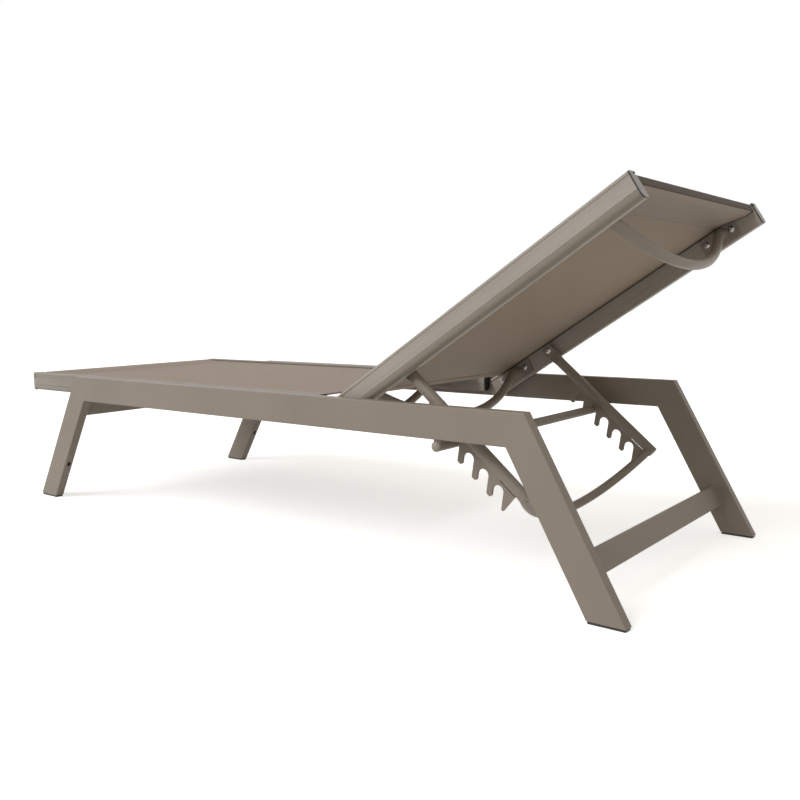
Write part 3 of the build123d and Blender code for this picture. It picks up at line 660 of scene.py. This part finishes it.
    def seams(self):
        """Lines of stitching: the hem and the pocket on both sides, and one beside each rail."""
        fold, half = settings().hem_width, self.thickness / 2
        end_y = SLOT_Y - self.seam_end_inset
        spaces = self.across_points - 1
        ys = [end_y * (2 * n / spaces - 1) for n in range(self.across_points)]
        lines = []
        for place in (self.hem + self.hem_seam_inset, self.hem + fold - self.hem_seam_inset):
            for raised in (half, -self.hem_depth * self.thickness):
                lines.append([self.spot(place, self.height(place, y) + raised, y) for y in ys])
        for share in self.pocket_seam_shares:
            place = self.lap(share, 0)[0]
            lines.append([self.spot(place, self.height(place, y) + half, y) for y in ys])
            lines.append([self.spot(place, self.lap(share, y)[1] - half, y) for y in ys])
        start, stop = self.hem + fold, self.cut - self.seam_stop
        spaces = self.along_points - 1
        places = [start + (stop - start) * n / spaces for n in range(self.along_points)]
        seam_y = SLOT_Y - self.rail_seam_inset
        for y in (-seam_y, seam_y):
            for raised in (half, -half):
                lines.append([self.spot(at, self.height(at, y) + raised, y) for at in places])
        return lines


# ---------------------------------------------------------------- repeated shapes


def repeat_nodes(name, lengths, paint_name, add_shape, smooth):
    """A node group that sets a shape at even steps along every line, turned to follow it.

    The first of the named lengths is the step. add_shape makes the shape and its scale.
    """
    group = bpy.data.node_groups.new(name, "GeometryNodeTree")
    sockets = group.interface
    sockets.new_socket("Geometry", in_out="INPUT", socket_type="NodeSocketGeometry")
    for label, length in lengths.items():
        socket = sockets.new_socket(label, in_out="INPUT", socket_type="NodeSocketFloat")
        socket.default_value = length
    sockets.new_socket(paint_name, in_out="INPUT", socket_type="NodeSocketMaterial")
    sockets.new_socket("Geometry", in_out="OUTPUT", socket_type="NodeSocketGeometry")
    make, link = group.nodes.new, group.links.new
    inputs, output = make("NodeGroupInput"), make("NodeGroupOutput")
    curve = make("GeometryNodeMeshToCurve")
    resample = make("GeometryNodeResampleCurve")
    resample.mode = "LENGTH"
    tangent = make("GeometryNodeInputTangent")
    align = make("FunctionNodeAlignRotationToVector")
    align.axis = "Z"
    scatter = make("GeometryNodeInstanceOnPoints")
    realise = make("GeometryNodeRealizeInstances")
    paint = make("GeometryNodeSetMaterial")
    shape, scale = add_shape(make, link, inputs)
    link(inputs.outputs["Geometry"], curve.inputs["Mesh"])
    link(curve.outputs["Curve"], resample.inputs["Curve"])
    link(inputs.outputs[next(iter(lengths))], resample.inputs["Length"])
    link(tangent.outputs["Tangent"], align.inputs["Vector"])
    link(resample.outputs["Curve"], scatter.inputs["Points"])
    link(shape, scatter.inputs["Instance"])
    link(align.outputs["Rotation"], scatter.inputs["Rotation"])
    link(scale, scatter.inputs["Scale"])
    link(scatter.outputs["Instances"], realise.inputs["Geometry"])
    real = realise.outputs["Geometry"]
    if smooth:
        smoothed = make("GeometryNodeSetShadeSmooth")
        link(real, smoothed.inputs["Geometry"])
        real = smoothed.outputs["Geometry"]
    link(real, paint.inputs["Geometry"])
    link(inputs.outputs[paint_name], paint.inputs["Material"])
    link(paint.outputs["Geometry"], output.inputs["Geometry"])
    return group


def stitch_shape(make, link, inputs):
    """A rounded stitch: a ball drawn out along the seam."""
    ball = make("GeometryNodeMeshUVSphere")
    ball.inputs["Segments"].default_value = 6
    ball.inputs["Rings"].default_value = 4
    ball.inputs["Radius"].default_value = 1.0
    half_length = make("ShaderNodeMath")
    half_length.operation = "MULTIPLY"
    half_length.inputs[1].default_value = 0.5
    scale = make("ShaderNodeCombineXYZ")
    link(inputs.outputs["Stitch length"], half_length.inputs[0])
    link(inputs.outputs["Thread radius"], scale.inputs["X"])
    link(inputs.outputs["Thread radius"], scale.inputs["Y"])
    link(half_length.outputs[0], scale.inputs["Z"])
    return ball.outputs["Mesh"], scale.outputs["Vector"]


def ripple_shape(make, link, inputs):
    """One ripple of a weld bead: a ball that its neighbours overlap."""
    ball = make("GeometryNodeMeshIcoSphere")
    ball.inputs["Radius"].default_value = 1.0
    ball.inputs["Subdivisions"].default_value = 2
    return ball.outputs["Mesh"], inputs.outputs["Bead radius"]


def node_piece(name, lines, group, values):
    """A piece whose modifier repeats something along lines of points, turned into plain mesh."""
    points, edges = [], []
    for line in lines:
        edges += [(len(points) + n, len(points) + n + 1) for n in range(len(line) - 1)]
        points += [tuple(point) for point in line]
    mesh = bpy.data.meshes.new(name)
    mesh.from_pydata(points, edges, [])
    piece = bpy.data.objects.new(name, mesh)
    bpy.context.scene.collection.objects.link(piece)
    modifier = piece.modifiers.new("Repeat", "NODES")
    modifier.node_group = group
    for socket in group.interface.items_tree:
        if socket.item_type == "SOCKET" and socket.in_out == "INPUT" and socket.name in values:
            modifier[socket.identifier] = values[socket.name]
    piece.update_tag()
    return baked(piece)


def ring_line(centre, axis, start, radius, steps=36):
    """Points of a circle round an axis, from a direction square to it."""
    side = axis.cross(start).normalized()
    return [
        centre + (start * cos(tau * n / steps) + side * sin(tau * n / steps)) * radius
        for n in range(steps + 1)
    ]


# ---------------------------------------------------------------- operators


class LoungerSettings(bpy.types.PropertyGroup):
    cloth_thickness: bpy.props.FloatProperty(
        name="Cloth thickness",
        description="Thickness of one layer of the sling cloth",
        default=0.001, min=0.0005, max=0.0016, unit="LENGTH",
    )
    hem_width: bpy.props.FloatProperty(
        name="Hem width",
        description="Width of the doubled hem at the free end of each sling",
        default=0.022, min=0.01, max=0.05, unit="LENGTH",
    )
    weave_pitch: bpy.props.FloatProperty(
        name="Weave pitch",
        description="Distance from one yarn of the cloth to the next",
        default=0.0014, min=0.0008, max=0.004, unit="LENGTH",
    )
    stitch_pitch: bpy.props.FloatProperty(
        name="Stitch pitch",
        description="Distance from one stitch to the next",
        default=0.0048, min=0.002, max=0.01, unit="LENGTH",
    )
    thread_radius: bpy.props.FloatProperty(
        name="Thread radius",
        description="Radius of the sewing thread",
        default=0.00045, min=0.0002, max=0.001, unit="LENGTH",
    )
    weld_radius: bpy.props.FloatProperty(
        name="Weld radius",
        description="Radius of the largest weld beads",
        default=0.0021, min=0.001, max=0.004, unit="LENGTH",
    )
    coat_colour: bpy.props.FloatVectorProperty(
        name="Coat", description="Colour of the powder coat", subtype="COLOR",
        default=(0.25, 0.217, 0.184), min=0, max=1,
    )
    rail_colour: bpy.props.FloatVectorProperty(
        name="Rails", description="Colour of the sling rails", subtype="COLOR",
        default=(0.288, 0.262, 0.234), min=0, max=1,
    )
    cloth_colour: bpy.props.FloatVectorProperty(
        name="Cloth", description="Colour of the sling cloth", subtype="COLOR",
        default=(0.312, 0.25, 0.205), min=0, max=1,
    )
    key_strength: bpy.props.FloatProperty(
        name="Key light", description="Strength of the sun that lights the near side",
        default=1.6, min=0, max=10,
    )
    room_strength: bpy.props.FloatProperty(
        name="Room light", description="Strength of the even light from all round",
        default=0.5, min=0, max=5,
    )


class LOUNGER_OT_finishes(bpy.types.Operator):
    """Give every rigid CAD part its own procedural finish"""

    bl_idname = "lounger.finishes"
    bl_label = "Finishes"

    def execute(self, context):
        coat = tuple(settings().coat_colour)
        rail = tuple(settings().rail_colour)
        finishes = {
            "tube": powder_coat("coat_tube", coat),
            "steel": powder_coat("coat_steel", shade(coat, STEEL_TONE), roughness=0.4),
            "seat_rail": powder_coat(
                "coat_seat_rail", rail, roughness=0.5, draw_lines=0.9, specular=0.12
            ),
            "back_rail": powder_coat(
                "coat_back_rail",
                shade(rail, BACK_RAIL_TONE),
                roughness=0.46,
                turn=RECLINE,
                draw_lines=0.9,
                specular=0.2,
                lip_shade_below=back_point(0, LIP_DROP).dot(ABOVE_BACK),
            ),
            # Painted shade: a dark coat on the end bars, for the shadow between them and the rails
            "end_bar": powder_coat(
                "coat_end_bar_shade", shade(coat, END_BAR_SHADE_TONE), roughness=0.5, specular=0.1
            ),
            "cap": moulded_plastic("plastic_black", CAP_BLACK, roughness=0.42),
            "head_cap": self.head_cap_plastic(),
            "taupe": moulded_plastic("plastic_taupe", coat, roughness=0.46),
            "nylon": moulded_plastic("plastic_nylon", NYLON_BLACK, roughness=0.5),
            "cord": moulded_plastic("plastic_cord", CORD_WHITE, roughness=0.4),
            "screw": stainless("stainless_steel", STEEL_GREY),
        }
        # The first word that a node's name holds gives its finish
        rules = (
            ("seat_rail", "seat_rail"),
            ("foot_end_bar", "end_bar"),
            ("back_rail", "back_rail"),
            ("back_top_bar", "end_bar"),
            ("seat_foot_cap", "taupe"),
            ("plugs", "taupe"),
            ("spline", "cord"),
            ("spacer", "nylon"),
            ("bush", "nylon"),
            ("screw", "screw"),
            ("bolt", "screw"),
            ("insert", "screw"),
            ("back_head_cap", "head_cap"),
            ("cap", "cap"),
            ("_foot_", "cap"),
            ("bow", "steel"),
            ("prop_leg", "steel"),
            ("rack", "steel"),
            ("rest_bar", "steel"),
        )
        for name, node in frame["nodes"].items():
            kind = next((kind for word, kind in rules if word in name), "tube")
            for place in node.material_slots:
                place.material = finishes[kind]
        return {"FINISHED"}

    def head_cap_plastic(self):
        """Black plastic whose flat end face is painted a lighter grey, as painted light on that
        face.
        """
        material = moulded_plastic(
            "plastic_head_cap", HEAD_CAP_BLACK, roughness=0.4, turn=RECLINE
        )
        tree = material.node_tree
        surface = tree.nodes["Principled BSDF"]
        plain = surface.inputs["Base Color"].links[0].from_socket
        mapping = tree.nodes["Mapping"]
        split = tree.nodes.new("ShaderNodeSeparateXYZ")
        tree.links.new(mapping.outputs["Vector"], split.inputs[0])
        end = reach("back_head_cap_left", Vector(), ALONG_BACK)[1]
        # Painted light: the flat end face is lighter than the rest of the cap
        edge = (end - CAP_FACE_DEPTH, end - CAP_FACE_DEPTH / 2)
        face = spread(tree, split.outputs["X"], onto=(0, 1), across=edge)
        tree.links.new(
            blend_colours(tree, face, plain, HEAD_CAP_LIT_GREY), surface.inputs["Base Color"]
        )
        return material


class LOUNGER_OT_slings(bpy.types.Operator):
    """Make the two slings with hems and stitching in place of their CAD stand-ins"""

    bl_idname = "lounger.slings"
    bl_label = "Slings"

    def execute(self, context):
        choice = settings()
        colour = tuple(choice.cloth_colour)
        # Painted light: the underside gets its own warmer copy of the cloth colour
        under_light_colour = tinted(colour, UNDERSIDE_LIGHT_TINT)
        thread = sewing_thread("sewing_thread", shade(colour, THREAD_TONE))
        # Painted shade: a dark copy of the thread finish for the hem's end face
        hem_end_shade = sewing_thread("hem_end_shade", shade(colour, HEM_END_SHADE_TONE))
        lengths = {
            "Pitch": choice.stitch_pitch,
            "Stitch length": choice.stitch_pitch * STITCH_SHARE,
            "Thread radius": choice.thread_radius,
        }
        stitches = repeat_nodes("Stitch row", lengths, "Thread", stitch_shape, smooth=False)
        for part, body, bar, origin, along, above, turn, band_and_edge_shade_tone in (
            (
                "seat", "frame", "foot_end_bar", SEAT_TOP,
                TO_FOOT_END, UP, 0.0, SEAT_BAND_AND_EDGE_SHADE_TONE,
            ),
            (
                "back", "backrest", "back_top_bar", back_point(0, 0),
                ALONG_BACK, ABOVE_BACK, RECLINE, BACK_BAND_AND_EDGE_SHADE_TONE,
            ),
        ):
            cloth = Cloth(part, bar, origin, along, above)
            top = woven_cloth(f"{part}_weave_top", colour, choice.weave_pitch, turn)
            under = woven_cloth(f"{part}_weave_under", under_light_colour, choice.weave_pitch, turn)
            # One darker finish for the band over the end bar and for the painted shade along the
            # rails' tracks
            dark = shade(tinted(colour, BAND_AND_EDGE_SHADE_TINT), band_and_edge_shade_tone)
            band_and_edge_shade = woven_cloth(f"{part}_tape", dark, choice.weave_pitch, turn, sheen=0.0)
            sheet = cloth.piece(top, under, hem_end_shade, band_and_edge_shade)
            seams = node_piece(
                f"{part}_cloth_stitches", cloth.seams(), stitches, {**lengths, "Thread": thread}
            )
            for piece in (sheet, seams):
                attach(piece, body)
            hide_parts(f"{part}_sling")
            cloth.flat_length()
        return {"FINISHED"}


class LOUNGER_OT_welds(bpy.types.Operator):
    """Lay weld beads where tubes, plates and racks are joined"""

    bl_idname = "lounger.welds"
    bl_label = "Welds"

    def execute(self, context):
        choice = settings()
        metal = weld_metal("weld_coat", shade(tuple(choice.coat_colour), WELD_TONE))
        lengths = {"Ripple pitch": RIPPLE_PITCH, "Bead radius": choice.weld_radius}
        beads = repeat_nodes("Weld bead", lengths, "Metal", ripple_shape, smooth=True)
        pieces = []  # name, body, lines, and the bead's share of the full size
        for name in ("seat_front_bow", "seat_rear_bow"):
            low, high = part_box(name)
            middle = Vector(((low.x + high.x) / 2, 0, SEAT_HEIGHT - BOW_DROP))
            pieces.append((name, "frame", self.bow_rings(middle, ALONG_SEAT), 1))
        for name, place in (
            ("back_upper_bow", UPPER_BOW_PLACE),
            ("back_lower_bow", LOWER_BOW_PLACE),
        ):
            rings = self.bow_rings(back_point(place, BOW_DROP), ALONG_BACK)
            pieces.append((name, "backrest", rings, 1))
        for name in ("front_cross_tube", "rear_cross_tube"):
            pieces.append((name, "frame", self.tube_ends(name), 0.8))
        pieces.append(("prop_cross_bow", "prop", self.prop_bow_rings(), 0.9))
        pieces.append(("rack_seams", "prop", self.rack_seams(), 0.7))
        for name, body, lines, share in pieces:
            values = {label: length * share for label, length in lengths.items()}
            bead = node_piece(f"{name}_weld", lines, beads, {**values, "Metal": metal})
            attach(bead, body)
        return {"FINISHED"}

    def bow_rings(self, middle, start):
        """The rings where a bow's tube meets the plates at its two ends."""
        return [
            ring_line(Vector((middle.x, hand * PLATE_FACE_Y, middle.z)), ACROSS, start, BOW_RADIUS)
            for hand in (-1, 1)
        ]

    def tube_ends(self, name):
        """The outline of a cross tube where it meets the inner face of each leg."""
        loops = []
        for hand in (-1, 1):
            edge = [
                (vertex.co.x, vertex.co.z)
                for vertex in frame["nodes"][name].data.vertices
                if abs(vertex.co.y - hand * CROSS_TUBE_END_Y) < SAME_PLACE
            ]
            outline = [edge[n] for n in geometry.convex_hull_2d(edge)]
            outline.append(outline[0])
            loops.append([Vector((x, hand * CROSS_TUBE_END_Y, z)) for x, z in outline])
        return loops

    def prop_bow_rings(self):
        """The lines where the bent tube of the prop is coped to the legs."""
        fall = Vector((cos(PROP_BOW_LEAN), 0, -sin(PROP_BOW_LEAN)))
        loops = []
        for hand in (-1, 1):
            end = prop_point(PROP_BOW_PLACE, 0, hand * PROP_Y)
            run = Vector((0, -hand * cos(PROP_BOW_SLOPE), 0)) + fall * sin(PROP_BOW_SLOPE)
            first = run.cross(PROP_DOWN).normalized()
            loop = []
            for point in ring_line(end, run, first, PROP_BOW_RADIUS):
                away = point - end
                flat = away - PROP_DOWN * away.dot(PROP_DOWN)
                slide = run - PROP_DOWN * run.dot(PROP_DOWN)
                a, b, c = slide.dot(slide), 2 * flat.dot(slide), flat.dot(flat) - PROP_RADIUS**2
                loop.append(point + run * (-b + sqrt(b * b - 4 * a * c)) / (2 * a))
            loops.append(loop)
        return loops

    def rack_seams(self):
        """Short beads along both faces of each rack, under its leg."""
        lines = []
        depth = PROP_RADIUS - SEAM_SINK
        for hand in (-1, 1):
            for side in (-1, 1):
                y = hand * PROP_Y + side * RACK_HALF_THICKNESS
                for place in RACK_SEAM_PLACES:
                    stop = place + RACK_SEAM_LENGTH
                    lines.append([prop_point(place, depth, y), prop_point(stop, depth, y)])
        return lines


class LOUNGER_OT_stage(bpy.types.Operator):
    """Set up the pale floor, the soft studio lights and the photograph's camera"""

    bl_idname = "lounger.stage"
    bl_label = "Studio"

    def execute(self, context):
        scene = context.scene
        scene.view_settings.view_transform = "Standard"
        self.lay_floor()
        self.add_lamps(scene)
        self.light_world(scene)
        self.aim_camera(scene)
        return {"FINISHED"}

    def seen_white(self, tree):
        """A factor of 1 for rays that come straight, or by a mirror or glass, from the camera."""
        rays = tree.nodes.new("ShaderNodeLightPath")
        straight = reckon(
            tree, "MAXIMUM", rays.outputs["Is Camera Ray"], rays.outputs["Is Glossy Ray"]
        )
        return reckon(tree, "MAXIMUM", straight, rays.outputs["Is Transmission Ray"])

    def lay_floor(self):
        """A pale floor that looks white and still takes the lounger's shadow."""
        paint = bpy.data.materials.new("floor_paint")
        paint.use_nodes = True
        tree = paint.node_tree
        tree.nodes.remove(tree.nodes["Principled BSDF"])
        plain = tree.nodes.new("ShaderNodeBsdfDiffuse")
        plain.inputs["Color"].default_value = (*FLOOR_GREY, 1)
        glow = tree.nodes.new("ShaderNodeEmission")
        glow.inputs["Color"].default_value = (1, 1, 1, 1)
        strength = reckon(tree, "MULTIPLY", self.seen_white(tree), FLOOR_GLOW)
        tree.links.new(strength, glow.inputs["Strength"])
        both = tree.nodes.new("ShaderNodeAddShader")
        tree.links.new(plain.outputs[0], both.inputs[0])
        tree.links.new(glow.outputs[0], both.inputs[1])
        tree.links.new(both.outputs[0], tree.nodes["Material Output"].inputs["Surface"])
        corners = [
            (x * FLOOR_REACH, y * FLOOR_REACH, -FLOOR_DROP)
            for x, y in ((-1, -1), (1, -1), (1, 1), (-1, 1))
        ]
        mesh_piece("floor", corners, [(0, 1, 2, 3)], [paint])

    def add_lamps(self, scene):
        """A soft sun over the near side and a broad panel towards the foot end."""
        strength = settings().key_strength
        key = bpy.data.lights.new("key", "SUN")
        key.energy = strength
        key.angle = KEY_ANGLE
        panel = bpy.data.lights.new("foot_panel", "AREA")
        panel.shape = "RECTANGLE"
        panel.size, panel.size_y = PANEL_SIZE
        panel.energy = PANEL_SHARE * strength
        for lamp, place, target in (
            (key, KEY_PLACE, (0, 0, 0)),
            (panel, PANEL_PLACE, PANEL_TARGET),
        ):
            holder = bpy.data.objects.new(lamp.name, lamp)
            holder.location = place
            aim = Vector(target) - Vector(place)
            holder.rotation_euler = aim.to_track_quat("-Z", "Y").to_euler()
            scene.collection.objects.link(holder)

    def light_world(self, scene):
        """White behind the lounger, and a room that is warmer towards its head end."""
        world = bpy.data.worlds.new("studio")
        scene.world = world
        world.use_nodes = True
        tree = world.node_tree
        room = tree.nodes["Background"]
        coordinates = tree.nodes.new("ShaderNodeTexCoord")
        split = tree.nodes.new("ShaderNodeSeparateXYZ")
        tree.links.new(coordinates.outputs["Generated"], split.inputs[0])
        towards_head = spread(tree, split.outputs["X"], onto=(0, 1), across=(-1, 1))
        tree.links.new(
            blend_colours(tree, towards_head, ROOM_AT_FOOT_END, ROOM_AT_HEAD_END),
            room.inputs["Color"],
        )
        room.inputs["Strength"].default_value = settings().room_strength
        white = tree.nodes.new("ShaderNodeBackground")
        white.inputs["Color"].default_value = (1, 1, 1, 1)
        mix = tree.nodes.new("ShaderNodeMixShader")
        tree.links.new(self.seen_white(tree), mix.inputs["Fac"])
        tree.links.new(room.outputs[0], mix.inputs[1])
        tree.links.new(white.outputs[0], mix.inputs[2])
        tree.links.new(mix.outputs[0], tree.nodes["World Output"].inputs["Surface"])

    def aim_camera(self, scene):
        """The photograph's camera, which looks from the head end's near side."""
        level_run = cos(CAMERA_PITCH)
        forward = Vector(
            (cos(CAMERA_YAW) * level_run, sin(CAMERA_YAW) * level_run, sin(CAMERA_PITCH))
        )
        level = forward.cross(UP).normalized()
        down = forward.cross(level)
        right = level * cos(CAMERA_ROLL) + down * sin(CAMERA_ROLL)
        sunk = down * cos(CAMERA_ROLL) - level * sin(CAMERA_ROLL)
        lens = bpy.data.cameras.new("camera")
        lens.sensor_width = SENSOR_WIDTH
        lens.lens = LENS_LENGTH
        lens.shift_x, lens.shift_y = LENS_SHIFT
        lens.clip_start = CLIP_START
        camera = bpy.data.objects.new("camera", lens)
        turn = Matrix((right, -sunk, -forward)).transposed().to_4x4()
        camera.matrix_world = Matrix.Translation(CAMERA_PLACE) @ turn
        scene.collection.objects.link(camera)
        scene.camera = camera


class LOUNGER_PT_panel(bpy.types.Panel):
    """The sidebar panel with the settings and one button for each group of pieces"""

    bl_idname = "LOUNGER_PT_panel"
    bl_label = "Lounger"
    bl_space_type = "VIEW_3D"
    bl_region_type = "UI"
    bl_category = "Lounger"

    def draw(self, context):
        for name in LoungerSettings.__annotations__:
            self.layout.prop(context.scene.lounger, name)
        for operator in OPERATORS:
            self.layout.operator(operator.bl_idname)


OPERATORS = (LOUNGER_OT_finishes, LOUNGER_OT_slings, LOUNGER_OT_welds, LOUNGER_OT_stage)
CLASSES = (LoungerSettings, *OPERATORS, LOUNGER_PT_panel)


def register():
    for item in CLASSES:
        bpy.utils.register_class(item)
    bpy.types.Scene.lounger = bpy.props.PointerProperty(type=LoungerSettings)


def unregister():
    del bpy.types.Scene.lounger
    for item in reversed(CLASSES):
        bpy.utils.unregister_class(item)


def main():
    register()
    for operator in OPERATORS:
        group, name = operator.bl_idname.split(".")
        if getattr(getattr(bpy.ops, group), name)() != {"FINISHED"}:
            raise RuntimeError(f"{operator.bl_idname} did not finish")
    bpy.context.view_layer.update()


if __name__ == "__main__":
    main()
